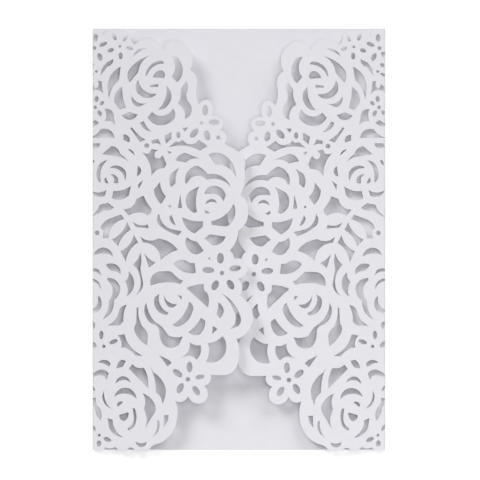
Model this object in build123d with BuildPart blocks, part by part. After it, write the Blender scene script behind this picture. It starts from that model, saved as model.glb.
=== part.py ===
"""Gatefold invitation card: one sheet of card stock, folded twice, with both flaps cut to rose lace.

The card lies on its back. +X runs across it, +Y towards its top and +Z up, and the origin is
under its middle. The lace was read off a photograph taken from above, so its outlines are in
that photograph's pixels, and the sizes below turn them into millimetres on each flap.
"""

import os
from collections import namedtuple
from math import acos, atan, ceil, cos, degrees, pi, radians, sin, tan

from build123d import *

# Driving sizes, in millimetres
card_width = 125.0
card_height = 180.0
stock_thickness = 0.3
fold_gap = 0.8  # clear space between the back and a flap, at the fold
flap_lift = 8.5  # how far the upper flap's free edge springs up from its fold
flap_clearance = 1.2  # clear space between the flaps, at the tip of the lower one
cut_overrun = 0.3  # how far the cuts run past the stock
cut_tolerance = 0.25  # the cutter follows an arc in straight moves, this close to it

# Where the card's edges and the longest flap's tip lie in the photograph, in pixels
left_edge_px = 93
right_edge_px = 385
top_edge_px = 28
bottom_edge_px = 450
flap_tip_px = 254
# The lace is drawn once. These columns of it lie on the left fold and, mirrored, on the right one.
left_fold_px = 93
right_fold_px = 90.5
# The right fold isn't quite in line with the lace, which turns that flap's lace by this angle, in degrees
right_turn = 0.5

fewest_moves = 2
bend_flats = 4

# An outline is corner, via, corner, via and so on, and its last side goes back to the first corner.
# A side is an arc through its via, or straight where the via is None.
FLAP_EDGE_PX = [
    (80, 20), None, (100, 28), (102.6, 31), (104, 35), (112, 28.6), (121, 31), (128.3, 31), (131.2, 37),
    (132.3, 41.8), (136, 44), (149, 38.6), (164, 50.5), (170, 42), (176, 40.5), (189.5, 48.8),
    (193.4, 61), (192.6, 66), (190.5, 70), (196.3, 76), (197.4, 85), (196.6, 95), (199.5, 105),
    (206.5, 99.8), (213, 106), (213.5, 111), (212.4, 116), (218.5, 116.7), (223.3, 121), (223.3, 126),
    (220.3, 130), (226.6, 135.5), (224.8, 143.6), None, (237, 150.7), (243.3, 156.5), (244.8, 168),
    (244.6, 183), (240.8, 195.5), (247, 202.5), (248.2, 211.5), (245.5, 223.5), (238.2, 231),
    (235.8, 242.3), (230.2, 250.2), (233, 254), (234.3, 258.8), (243, 259.7), (247.8, 265.5),
    (246, 274), (238.5, 278.5), (242.3, 286), (240, 295.5), (249, 304), (253.2, 316), (249.7, 329),
    (236.8, 339), (239.7, 352), (236.5, 367), (231, 373), (224, 375), None, (210.7, 374.8),
    (210.3, 381.3), (204.5, 385.7), (208.2, 393), (206.5, 400), (197, 403.4), (188.6, 396),
    (183.5, 401.3), (176, 400.8), (178, 414.5), (174.5, 429), (167.5, 438.5), (155, 444.8),
    (151.7, 446.8), (149.5, 450), None, (149.5, 456), None, (135, 456), None, (135, 450),
    (131.5, 447.6), (127.5, 450), None, (127.5, 456), None, (119, 456), None, (119, 450), None,
    (115.5, 447.2), (110.3, 448.6), (105, 447.3), None, (105, 456), None, (80, 456), None,
]

TOP_ROSE_PX = [
    [(147.5, 48.2), (139.2, 49.2), (134, 55.8), (140.8, 51)],
    [(151.5, 55.2), (138, 61.2), (130.3, 68.5), (128, 75), (130.2, 82.3), None, (138.8, 72),
     (142.5, 62)],
    [(165, 63.7), None, (162.8, 60.9), (152, 64.2), (145.9, 75.6), None, (147.6, 75.2), (153.2, 67.2)],
    [(153.2, 77.2), (156.2, 72.3), (160.5, 70.3), (165, 73), (164.2, 78), None],
    [(121.2, 66.5), (110.5, 76.5), (108, 87), None, (109.6, 99.3), (112, 89.5), (119.5, 80), None],
    [(122.8, 86.3), (116.5, 92.5), (114.7, 102), None, (120, 109.5), None, (126.5, 107.5), (123.8, 99)],
    [(122.3, 115), None, (129.7, 111.9), None, (138, 114.5), (130, 119.6)],
    [(152.5, 112), (163, 115.8), (173.2, 108.8), (175.8, 114.5), (171.5, 121.5), (160, 125.3),
     (148, 117.2), None],
    [(140.6, 122.3), (143.8, 128), (151.8, 131.5), (147, 126.3), (144.2, 121), None],
    [(130.4, 127.8), None, (140.4, 142), None, (146, 139.7), (138.8, 134.6), (132.6, 127), None],
    [(138.8, 79.5), (136.3, 88), (142, 96.2), (150, 97.9), (157.2, 93.6), (146, 91.3)],
    [(150.8, 85.3), None, (158.8, 83.9), None, (158.8, 86.9), None, (150.8, 86.9), None],
    [(132.3, 95.8), (133, 102.3), (139, 106.7), None, (147.8, 103), (138.6, 102.4)],
    [(166.9, 85.8), (171.8, 94), (168.8, 104.5), (165, 108.3), (159, 109.3), (165.4, 99.2)],
    [(171.3, 56.8), (176.5, 56.3), (180, 60.8), (183.3, 71), (177.3, 82.3), None, (172, 76.3),
     (175.7, 66.5)],
    [(186.6, 80.8), (188.5, 87), (186.3, 94.5), None, (188, 101.2), (192.2, 109.5), (185.2, 119),
     (184.4, 110.5), (178, 103.6), (181, 97), (181, 89.5), None],
]

TOP_SPRAY_PX = [
    [(113.7, 58.8), (112.8, 63), (107.5, 66.3), (104.8, 70.5), (100.2, 75.6), (101.9, 72.2), (101.9, 69),
     None, (107, 62.3), None],
    [(98.3, 80.8), None, (101.8, 81), None, (103.9, 94), (98, 89.8), (90, 92.5), None, (90, 87), None,
     (93.8, 84), (94.6, 86.8), (96.6, 88.2), (98.7, 86)],
    [(105.2, 109), (111, 109.8), (113.8, 113.5), None, (115.7, 124.8), (111, 121.2), (105, 121.1),
     (106.9, 115.5)],
    [(89, 124.3), None, (95.8, 119.9), None, (99.4, 122.7), (96.5, 124.9), (89.5, 127), None],
    [(89.5, 137.6), (97, 134), (101, 129.2), (110.5, 130.2), (115, 137.7), None],
    [(171.9, 131.8), None, (171.9, 138.9), None, (166.4, 143.6), None, (164.9, 136), None],
    [(169.3, 147.3), None, (176.3, 141.2), (179.5, 142), (182.6, 139.7), (190.5, 144.2), (199.3, 139.8),
     None, (208.2, 146.2), None, (200.4, 150.8), (186.5, 145.9)],
    [(168, 150.8), None, (172, 152.3), None, (169.3, 153.9), None],
    [(183, 128), None, (188.8, 127.3), None, (185, 132), None],
]

FOLD_ROSE_PX = [
    [(89, 148.5), None, (92, 143.3), None, (100.5, 143), (99.6, 146), (96.5, 148), None],
    [(102.8, 153.9), None, (111.8, 146), (117.5, 148.3), (120.4, 153.5), None, (124, 156), None,
     (129.2, 162), (125.3, 158.9), (120.8, 157), None],
    [(108.2, 160), (101.2, 163), (97.6, 170), (97, 176), (100.4, 182.6), None, (101.6, 180.2),
     (101.7, 169)],
    [(110.4, 167.5), (115, 165.4), (120.5, 166.3), (126.5, 172.8), (125.5, 180.1), (122.3, 172.6),
     (117, 168.5), None],
    [(106.2, 177.1), None, (109, 183.1), None, (106.1, 183), (104.8, 180)],
    [(110.9, 174.2), (116.5, 175.7), (118.6, 183.2), None, (114.1, 183), (114.3, 178)],
    [(123.9, 134.5), (128.8, 136.2), (129.8, 142.2), None, (124, 139.9), None],
    [(128.3, 149.1), (132.4, 150.2), (135, 155.1), None],
    [(152.1, 140.4), None, (158.6, 138.8), None, (161.6, 145.3), (157, 143.1), (152.8, 143.8), None],
    [(142.8, 152.3), (147, 153.6), (150, 153), None, (152.2, 149), None, (158.5, 150.3), (154.9, 154.8),
     (156.4, 158.2), (160.7, 157.8), (162.9, 154.7), None, (167, 164), None, (164.8, 168), (157, 170.3),
     (152, 175.8), (150.8, 165.8)],
    [(138.3, 165.8), (141.6, 170.8), (137.3, 175.9), None],
    [(143.8, 179.8), None, (139.1, 189.4), None, (138.5, 184.3), None],
    [(160.6, 181.8), (161.8, 189.5), (166.6, 196.3), None, (161.5, 204.1), (156, 196.5), (154.6, 189.5),
     None],
    [(91, 190.3), (99, 192.5), (106.8, 189.7), None, (105.5, 195.5), (98.5, 196.8)],
    [(113.8, 190.7), (122.5, 190.3), (131.3, 185.8), None, (129.3, 195.3), (121, 199.6), (112.2, 197.9),
     None],
    [(90, 217.3), (97, 211), (100.2, 204.7), None, (108.8, 202.9), None, (114.6, 207.5), (110.5, 209.8),
     (104, 210.4), (98, 213.8)],
]

MIDDLE_ROSE_PX = [
    [(176.3, 160.6), (180.8, 154.5), (186, 152.9), None, (200.2, 158.8), (192.3, 159), (186.3, 162.5),
     None],
    [(179.4, 167.9), (176.4, 175.5), (176.1, 183.2), None, (171.5, 187.2), (169.8, 180.5), (172, 173),
     None],
    [(186, 183.8), (187.5, 172.3), (197.6, 165.7), (203.4, 169.2), (208.3, 174.3), (222, 176.3),
     (230.8, 187), (219.5, 179.4), (207.3, 180), (197, 175.8), (187.6, 183.3), None],
    [(199.8, 186.1), (196.4, 198.5), (197.4, 211.5), None, (195.2, 213), (188, 207.5), (190, 191.3),
     None],
    [(204.9, 193.9), (207.8, 188), (213, 185.9), (222.5, 189), (226.2, 195.5), None, (223.6, 201.5),
     (219.2, 195.6), (213, 193.7), None],
    [(206.1, 204.3), (211.2, 198.9), (217.4, 203.1), (211.5, 202)],
    [(205.3, 209.9), None, (210.3, 212.5), None, (207.3, 213.9), None, (205, 212.4), None],
    [(180.8, 193.9), None, (182.4, 208), None, (178.2, 207.8), None],
    [(208.9, 154.6), (217, 152.6), (225, 155.3), (232.5, 163.3), (236, 177.5), (228, 167.5),
     (215.3, 164.4), None],
    [(233.8, 203.8), (235.4, 214), (229, 225.3), None, (226, 226.6), None, (211.9, 224.9), None,
     (211.9, 221.1), (225.5, 214.8)],
]

FERN_PX = [
    [(123.9, 209.3), (132.5, 206.6), (137, 198.9), None, (144, 195.7), (147.3, 202.3), (152.2, 208.8),
     None, (151.5, 212.3), None, (148.4, 215.3), (139, 212.3), (129.5, 215.5), None],
    [(101, 227.6), (104, 222.8), (108.3, 219.3), None, (121.6, 214.5), None, (124.9, 219),
     (113.6, 225.2), (109, 238), None, (103, 238.2), None, (104.3, 231.3), None],
    [(127.5, 221.8), None, (131.2, 229.5), (123.5, 236.3), (118.6, 246.2), None, (112.3, 239.4),
     (121.5, 232.9)],
    [(132.8, 221.4), (138.5, 224.6), (148.2, 224.4), None, (149.3, 228.2), None, (136.4, 227), None],
    [(134.3, 234.5), None, (138.4, 242.5), (131, 249.3), (126.4, 261.9), None, (121.1, 251),
     (130.2, 244.2)],
    [(159.5, 213.6), (163.5, 223.6), (171, 229), None, (182.2, 231.2), None, (178.7, 235.4),
     (169, 231.6), (160.5, 226), (157.4, 220.5)],
    [(140.7, 236.2), (149.5, 240.6), (158.3, 238.6), (170, 242.2), (178.3, 250), (168.5, 254.4),
     (161.2, 260.3), (156.5, 248.2), (143.2, 242.3), None],
    [(171.8, 214.7), None, (176, 225.2), (171.2, 221.6), (169.9, 217), None],
    [(182.7, 217.2), (192, 220.5), (203.5, 221.2), None, (203.2, 226.7), None, (195, 233.6),
     (187.3, 228)],
    [(204.9, 238.6), None, (210, 234.3), None, (225.9, 236.6), (221.5, 242.8), (213, 245.4), None],
    [(187.4, 236.8), (191.5, 240), (197.2, 241.2), None, (203.8, 250.3), (196.5, 254.2), (188.7, 249.6),
     (185.8, 242.5)],
    [(209.5, 256.8), None, (211.3, 259.8), None, (208.2, 259), None],
    [(174, 263.4), (179.6, 260.1), (185.3, 260), None, (190.3, 262.9), None, (195, 263), None,
     (196.2, 272.7), (184.5, 272)],
    [(94.2, 255.2), (103.5, 247.6), (113.4, 256.4), (103.5, 253.4)],
    [(88, 270.5), (95.5, 268.5), (99.3, 270), None, (102.2, 276), (96.5, 272), (88, 272.7), None],
    [(88, 279.6), (95.7, 279.5), (101, 289.3), (97, 283.4), (88, 281.8), None],
    [(106.3, 264.9), (114.5, 263.8), (121, 270), None, (120.9, 274.4), (117, 271.6), (111.3, 271),
     None],
    [(129, 271.6), (134.6, 281.8), (127, 296.3), (128.3, 288.5), (125.5, 281.3), (128.6, 277.5)],
    [(140.8, 252.2), (141.9, 259), (140.8, 268), None, (143.8, 284), (142, 289.8), (136.1, 295.3),
     (140.7, 286.5), (140.2, 275.5), (138, 269.9), (133.4, 264.4), (138, 259.5)],
    [(145, 253.5), (149.3, 258.4), (156.3, 262.5), None, (149.3, 267.7), None],
]

LOWER_ROSE_PX = [
    [(108.3, 277.8), (117.5, 281.6), (120.9, 289), (118.8, 295.6), (114.3, 300.3), (112.3, 311.3),
     (103.2, 319.2), (108, 311), (109.2, 301), (112.7, 295), (113.3, 290), (112, 284.8), (107.8, 280.3),
     None],
    [(98.8, 295.8), (102.3, 303.5), (99.5, 310.8), None, (88, 316.5), None, (88, 311), (95.3, 307.6),
     (98.2, 303), None],
    [(127.2, 305), (124.6, 311.5), (124, 321.5), None, (120, 325.4), None, (108.2, 325.6),
     (115.8, 319.6), (119.5, 312), (122, 307)],
    [(138.8, 306.8), (139.4, 317.5), (142.6, 326.4), (147.2, 331.5), (148.1, 339), None, (147.6, 345.6),
     (140.8, 340.2), (135.3, 332.2), (134.7, 327.8), (136.7, 323.3), None, (137.2, 308.2), None],
    [(146.7, 302.6), (145.2, 314), (154, 324.6), (158.8, 327.7), (159.8, 331.5), (160.5, 337.8),
     (163.3, 344.2), (171, 347.9), (180, 343.8), None, (183.2, 336.3), (175, 337.2), (168.3, 335), None,
     (162.8, 327), None, (154.5, 320.8), (149.7, 313.5)],
    [(151.2, 285.6), (153.2, 275.3), (161, 271.3), None, (171, 271.2), None, (180.3, 279.6), None,
     (183.3, 280.2), None, (181, 284.1), (166, 282.3)],
    [(159.9, 293.7), None, (155.3, 297), (157.8, 310.5), (167.5, 314.9), None, (169.2, 312.6),
     (161.2, 306)],
    [(164.2, 294.3), (168.2, 301.4), (177.3, 303.9), (170.5, 307.4), (167.3, 305.2), (164.8, 299.5)],
    [(178, 294.8), None, (182.3, 296), None, (181.8, 299.8), None],
    [(186.8, 288), (195.5, 285), (204, 284), None, (204.6, 290.4), None, (208.2, 293.6), (209.2, 300),
     (208.2, 307.8), None],
    [(189.6, 301.8), (193.6, 307.5), (192.3, 313), (186.8, 322), (177, 326.9), None, (172.9, 324.9),
     (183.3, 315.5)],
    [(218.4, 302.4), (223.9, 310.5), (220.2, 318.3), None, (216.2, 313.6), (218.4, 308)],
    [(222, 293.3), (234.2, 303.8), (241.2, 318), (240.2, 323.5), (237.7, 326.3), None, (230.2, 329.2),
     (234.8, 323.5), (233.8, 310), (228.8, 300.7)],
    [(201.4, 317.7), None, (205.5, 320.6), (204.3, 328.6), (199.8, 334.5), (194.5, 335), (188.8, 332.1),
     (196.4, 325)],
    [(213.2, 325.8), None, (217.8, 328.8), None, (212.4, 334.4), None],
    [(222.6, 335.9), (226.7, 347), (221, 359), (214.5, 362.2), (206.3, 361.6), (209.3, 352.5),
     (208.2, 343.2), (216.3, 341)],
    [(190.2, 342.3), (194, 344.6), (200.7, 344.9), (201.2, 352), (196.7, 359.5), (192.5, 356.5),
     (187.5, 355.9), None, (180.2, 357.8), (188, 352.2)],
    [(118.2, 335.4), None, (124.9, 334.3), (131.3, 347), (143.3, 355.6), None, (136.3, 355.9),
     (131.3, 351.2), (125.5, 347.5), None, (121.5, 347.4), (121.6, 341)],
    [(159.3, 354.8), None, (169.5, 360), None, (172.1, 363), None, (167.8, 366.5), None],
]

BOTTOM_ROSE_PX = [
    [(98.7, 362.7), (104.3, 360), (111.1, 363.9), None, (109.6, 367), (104.5, 364)],
    [(117, 368.6), (118.5, 363.3), (122, 359.7), None, (126.4, 360.8), None, (123.3, 366.8), None],
    [(88, 381.5), (94, 373.3), (100.8, 369.9), (106.3, 370.8), (109.1, 373.9), None, (106.9, 380.3),
     (104.8, 376.8), (100.5, 375.4), (95, 376.8)],
    [(129.2, 368.6), None, (132.9, 364.2), (136, 366.9), (144.2, 367.5), (147.7, 375.5), (148.6, 388.3),
     None],
    [(150.4, 366), None, (153.9, 372.3), (161.8, 379.5), (166.2, 389), (165.8, 396.5), (162.6, 404.2),
     (161, 397.3), (156, 392.4), (155.6, 382.5)],
    [(116.1, 384.1), (123.6, 376.4), (130.9, 382.6), (123.6, 380)],
    [(114.9, 396.8), (124, 388), (136.9, 399), (124.3, 393.6)],
    [(104.7, 390.2), (105.6, 400), (111.9, 408.9), (104.2, 402.3), (102.6, 395.8), None],
    [(123.8, 402.2), None, (118.4, 407), None, (117.2, 405), (118.6, 402.6)],
    [(143.1, 393.3), (150, 397.2), (155.2, 404), (156, 409.5), (152.8, 416.2), None, (144.3, 430.7),
     (147.3, 421), (145.8, 413.2), None, (144.3, 408.6), (145.8, 401)],
    [(88.5, 399), None, (96.2, 398), (96.6, 403), (98.3, 406.3), (101.9, 412.5), (101, 420.4),
     (97.2, 415.5), (95.9, 409), None],
    [(119.9, 415), None, (128.9, 412.3), (128.3, 417.8), (124.6, 421.2), (121.2, 419.6)],
    [(133, 408.3), None, (135.1, 408.2), (137, 417), (134.6, 426.8), None, (129.4, 430.9), None,
     (127.9, 428.6), (132.7, 424), (134.2, 416.5), None],
    [(108.1, 418.3), None, (113.1, 420.1), (115.2, 428.8), (123.9, 437.4), (114.5, 434.3),
     (109.5, 427.5), None],
    [(157.4, 420.3), None, (159.2, 420.6), (160.2, 427), (157.6, 433.2), None, (153, 437.1),
     (157.2, 428.5)],
    [(164.3, 415.2), None, (169.2, 415.2), None, (168.3, 421.3), None, (164.2, 427), None],
    [(136.3, 442), (141.5, 443.3), (147, 442.2), (141.5, 447.3)],
]

# Petals: middle, length, width, and the angle of the length above the +X direction
PETALS_PX = [
    (96.1, 37.5, 7.6, 4.6, 85), (103.7, 44, 8.2, 3.9, 24), (100.4, 56.7, 8, 4.6, -66),
    (90.5, 54.5, 7.5, 4.4, -130), (114.9, 36.8, 7, 3.8, 115), (125.7, 38.3, 6.5, 3.4, 55),
    (130.3, 48, 6.5, 3.6, -18), (121.1, 55.6, 6.8, 4, 90), (111.2, 50, 6.4, 3.8, 18),
    (92, 65, 5, 3.5, 40), (91.5, 74.5, 6, 2.8, 30), (97.1, 98.8, 6, 4, 80), (102.3, 103, 5.2, 3.3, 42),
    (100.1, 113, 6.4, 3.8, -62), (91.5, 112.5, 5, 3.6, 60), (205.6, 110.3, 10.5, 6, 86),
    (214.5, 122.2, 10.8, 5.6, 0), (207.5, 135.5, 10, 6, -78), (194.5, 133.2, 11, 6, 48),
    (178.8, 134.8, 6.6, 4.2, 90), (93, 162.5, 6, 2.4, 60), (220.7, 258.2, 10.6, 6.8, 90),
    (235.3, 268.2, 11.5, 6, 8), (208.7, 270, 11.6, 6.2, -4), (215.3, 285.3, 10.6, 6.6, 62),
    (230.8, 284.7, 10.4, 6.6, -60), (93, 325.2, 7.4, 5, -80), (101.8, 335, 8.4, 4.2, 88),
    (114, 341.8, 8.6, 4.2, 22), (93.2, 344.2, 9.5, 4.6, -40), (189.9, 366.9, 10.6, 5.8, 90),
    (178, 373.2, 11, 6, -38), (200.3, 376.9, 9, 4.6, 12), (180.6, 388.1, 11, 6, 62),
    (196.5, 390.6, 10.8, 5.8, -55), (93.6, 388.6, 6, 2.6, -58), (93.4, 427.8, 8, 3.6, -48),
    (107.8, 439.7, 8, 4.4, -22), (99.4, 443.9, 6.6, 4.6, 90),
]

# Round piercings: middle and diameter
DOTS_PX = [
    (94.8, 47.8, 3.8), (120.5, 46.2, 2.9), (96.8, 71.2, 2.6), (95.6, 107.2, 3.4), (201.8, 123, 3.6),
    (218.7, 137.6, 4.2), (147.1, 145.6, 4.8), (170.3, 206.2, 2.6), (97.6, 232.9, 4.6),
    (222.2, 273, 4.3), (104.3, 346.5, 3.3), (188.1, 379.3, 4.6), (99.7, 435.4, 3),
]

mm_per_px = card_width / (right_edge_px - left_edge_px)
mm_per_py = card_height / (bottom_edge_px - top_edge_px)
middle_py = (top_edge_px + bottom_edge_px) / 2

# Each fold is a scored one, which bends in flats
inner_radius = fold_gap / 2
outer_radius = inner_radius + stock_thickness
bend_x = card_width / 2 - outer_radius

# Each flap rises straight from its bend, and the left one passes over the tip of the right one
left_reach = (flap_tip_px - left_fold_px) * mm_per_px
left_angle = degrees(atan(flap_lift / left_reach))
left_length = left_reach / cos(radians(left_angle))
right_reach = (flap_tip_px - right_fold_px) * mm_per_px
right_lift = (card_width - right_reach) * tan(radians(left_angle)) - stock_thickness - flap_clearance
right_angle = degrees(atan(right_lift / right_reach))
right_length = right_reach / cos(radians(right_angle))

Flap = namedtuple("Flap", "side fold_px turn angle length")
left_flap = Flap(-1, left_fold_px, 0, left_angle, left_length)
right_flap = Flap(1, right_fold_px, right_turn, right_angle, right_length)


def on_flap(pixel, flap):
    """A photograph pixel as a place on a flap: along the slope from its fold, and up the card."""
    along = (pixel[0] - flap.fold_px) * mm_per_px / cos(radians(flap.angle))
    up = (middle_py - pixel[1]) * mm_per_py
    turn = radians(flap.turn)
    return (along * cos(turn) + up * sin(turn), up * cos(turn) - along * sin(turn))


def moves(radius, turn):
    """How many straight moves follow a turn of this radius, in radians, to within the tolerance."""
    sag = min(cut_tolerance, radius / 2)
    return max(fewest_moves, ceil(turn / (2 * acos(1 - sag / radius))))


def outline(points_px, flap):
    """The face inside an outline of corners and vias."""
    corners = [on_flap(pixel, flap) for pixel in points_px[0::2]]
    path = []
    for corner, via, following in zip(corners, points_px[1::2], corners[1:] + corners[:1]):
        if via is None:
            path.append(corner)
        else:
            arc = ThreePointArc(corner, on_flap(via, flap), following, mode=Mode.PRIVATE)
            steps = moves(arc.radius, arc.length / arc.radius)
            path += [arc @ (step / steps) for step in range(steps)]
    with BuildLine() as edge:
        Polyline(*path, close=True)
    return make_face(edge.line, mode=Mode.PRIVATE)


def oval(x, y, length, width, angle, flap):
    """The face of an oval piercing, with its middle, length and width in pixels."""
    steps = 2 * moves((length + width) / 4 * mm_per_px, pi)
    turn = radians(angle)
    ring = []
    for step in range(steps):
        move = 2 * pi * (step + 1 / 2) / steps
        along = length / 2 * cos(move)
        across = width / 2 * sin(move)
        pixel = (x + along * cos(turn) - across * sin(turn), y - along * sin(turn) - across * cos(turn))
        ring.append(on_flap(pixel, flap))
    with BuildLine() as edge:
        Polyline(*ring, close=True)
    return make_face(edge.line, mode=Mode.PRIVATE)


def lace_waste(flap):
    """All that is cut away from one flap, drawn flat: what lies past its edge, and its openings."""
    roses = TOP_ROSE_PX + FOLD_ROSE_PX + MIDDLE_ROSE_PX + LOWER_ROSE_PX + BOTTOM_ROSE_PX
    with BuildSketch() as waste:
        with Locations((-cut_overrun, 0)):
            Rectangle(
                flap.length + 2 * cut_overrun,
                card_height + 2 * cut_overrun,
                align=(Align.MIN, Align.CENTER),
            )
        add(outline(FLAP_EDGE_PX, flap), mode=Mode.SUBTRACT)
        add([outline(points_px, flap) for points_px in roses + TOP_SPRAY_PX + FERN_PX])
        add([oval(*petal_px, flap) for petal_px in PETALS_PX])
        add([oval(x, y, across, across, 0, flap) for x, y, across in DOTS_PX])
    return waste.sketch


def flap_plane(flap):
    """The plane of a flap's slope, level with the middle of its bend, with X away from the fold."""
    rise = radians(flap.angle)
    return Plane(
        (flap.side * card_width / 2, 0, outer_radius),
        x_dir=(-flap.side * cos(rise), 0, sin(rise)),
        z_dir=(-sin(rise), 0, -flap.side * cos(rise)),
    )


def sheet_face(radius):
    """One face of the folded sheet in section, from the left flap's tip to the right flap's."""
    left_bend = CenterArc((-bend_x, outer_radius), radius, 90 + left_angle, 180 - left_angle)
    right_bend = CenterArc((bend_x, outer_radius), radius, 270, 180 - right_angle)
    left_slope = PolarLine(left_bend @ 0, left_length - outer_radius, left_angle)
    right_slope = PolarLine(right_bend @ 1, right_length - outer_radius, 180 - right_angle)
    left_corners = [left_bend @ (flat / bend_flats) for flat in range(bend_flats + 1)]
    right_corners = [right_bend @ (flat / bend_flats) for flat in range(bend_flats + 1)]
    return [left_slope @ 1, *left_corners, *right_corners, right_slope @ 1]


left_waste = lace_waste(left_flap)
right_waste = lace_waste(right_flap)
outer_face = sheet_face(outer_radius)
inner_face = sheet_face(inner_radius)
cut_depth = outer_radius + cut_overrun

with BuildPart() as gatefold_card:
    with BuildSketch(Plane.XZ) as section:
        with BuildLine() as folded_sheet:
            Polyline(*outer_face, *reversed(inner_face), close=True)
        make_face()
    extrude(amount=card_height / 2, both=True)
    # The lace is cut from the middle of each bend upwards, so the back stays whole
    with BuildSketch(flap_plane(left_flap)) as left_lace:
        add(left_waste)
    extrude(amount=cut_depth, mode=Mode.SUBTRACT)
    with BuildSketch(flap_plane(right_flap)) as right_lace:
        add(right_waste)
    extrude(amount=-cut_depth, mode=Mode.SUBTRACT)

gatefold_card.part.label = "gatefold_card"
os.makedirs("parts", exist_ok=True)
export_step(gatefold_card.part, "parts/gatefold_card.step", write_pcurves=False)
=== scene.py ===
# %% [markdown]
# # A laser-cut gatefold invitation
# The object is one sheet of pearl white card. A laser cuts roses, leaves and small flowers out of
# two of its panels, and two scored folds then bring these panels over the plain back, where the
# left one lies on the right one. This lesson makes it in the same order: the flat blank with all
# its openings first, then the folds, then the finish of the card, and last the light and camera.

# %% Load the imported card
from collections import namedtuple
from math import acos, asin, atan2, ceil, cos, degrees, hypot, pi, radians, sin

import bpy
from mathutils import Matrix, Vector


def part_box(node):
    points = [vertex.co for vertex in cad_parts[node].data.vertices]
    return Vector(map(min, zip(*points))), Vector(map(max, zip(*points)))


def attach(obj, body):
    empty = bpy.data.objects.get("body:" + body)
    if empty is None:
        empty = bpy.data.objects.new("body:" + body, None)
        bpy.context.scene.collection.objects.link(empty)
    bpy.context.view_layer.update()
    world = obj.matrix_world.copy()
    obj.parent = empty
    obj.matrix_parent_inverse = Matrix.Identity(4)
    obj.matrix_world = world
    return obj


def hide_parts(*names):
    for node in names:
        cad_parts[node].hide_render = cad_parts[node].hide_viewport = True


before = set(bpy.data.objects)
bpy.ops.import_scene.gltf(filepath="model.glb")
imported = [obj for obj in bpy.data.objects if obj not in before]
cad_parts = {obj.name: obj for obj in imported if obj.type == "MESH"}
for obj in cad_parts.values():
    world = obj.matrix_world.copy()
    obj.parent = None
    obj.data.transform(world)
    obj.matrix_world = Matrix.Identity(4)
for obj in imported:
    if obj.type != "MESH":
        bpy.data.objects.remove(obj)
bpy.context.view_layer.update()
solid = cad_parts["gatefold_card"]

# %% [markdown]
# ## Sizes
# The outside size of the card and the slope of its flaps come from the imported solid, so that the
# piece made here fits it. Drawing is done in millimetres, which suit a card, and the finished mesh
# is brought to metres. A flap's slope is read from the faces that lean to its side: they look up,
# and each one counts by its area.

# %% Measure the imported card
# Lengths are in millimetres, except where MM brings them to metres
MM = 0.001
stock_thickness = 0.3
fold_gap = 0.8
low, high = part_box("gatefold_card")
card_width = (high.x - low.x) / MM
card_height = (high.y - low.y) / MM

inner_radius = fold_gap / 2
outer_radius = inner_radius + stock_thickness
middle_radius = (inner_radius + outer_radius) / 2
bend_x = card_width / 2 - outer_radius
print("card", round(card_width, 2), "by", round(card_height, 2), "mm, bends start", round(bend_x, 2),
      "mm off its middle line")

# %% Measure the slopes of the flaps
# A flap's faces lean more than those of the back, which is level, and less than those of a bend
LEAST_SLOPE = radians(2)
MOST_SLOPE = radians(20)


def flap_slope(side):
    """The angle at which a flap rises, from the solid's faces that look up and lean to its side."""
    lean = Vector((0, 0, 0))
    for face in solid.data.polygons:
        if face.normal.z > cos(MOST_SLOPE) and face.normal.x * side > sin(LEAST_SLOPE):
            lean += face.normal * face.area
    return atan2(abs(lean.x), lean.z)


left_slope = flap_slope(-1)
right_slope = flap_slope(1)
print("flaps rise", round(degrees(left_slope), 2), "and", round(degrees(right_slope), 2), "degrees")

# %% [markdown]
# ## The drawing of the lace
# A laser follows a drawing, so the lace starts as one. It was read off the photograph, which looks
# straight down, and its places are the photograph's pixels on the left flap. The right flap is the
# same drawing turned over, with its fold a little further out and half a degree out of line, as on
# a card that was folded by hand. Roses are made of crescents and leaves with sharp tips, so each
# opening is a ring of corners with an arc or a straight side between each two. Petals of the small
# flowers are ovals, and their middles are round piercings.

# %% The card's edges and folds in the photograph
left_edge_px = 93
right_edge_px = 385
top_edge_px = 28
bottom_edge_px = 450
mm_per_px = card_width / (right_edge_px - left_edge_px)
mm_per_py = card_height / (bottom_edge_px - top_edge_px)
middle_px = (left_edge_px + right_edge_px) / 2
middle_py = (top_edge_px + bottom_edge_px) / 2

# A flap's side of the card, the drawing's pixel at its fold, the turn of its lace, and its slope
Flap = namedtuple("Flap", "side fold_px turn slope")
left_flap = Flap(side=-1, fold_px=left_edge_px, turn=0, slope=left_slope)
right_flap = Flap(side=1, fold_px=90.5, turn=radians(0.5), slope=right_slope)
print("one pixel is", round(mm_per_px, 4), "mm across and", round(mm_per_py, 4), "mm up the card")

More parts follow.
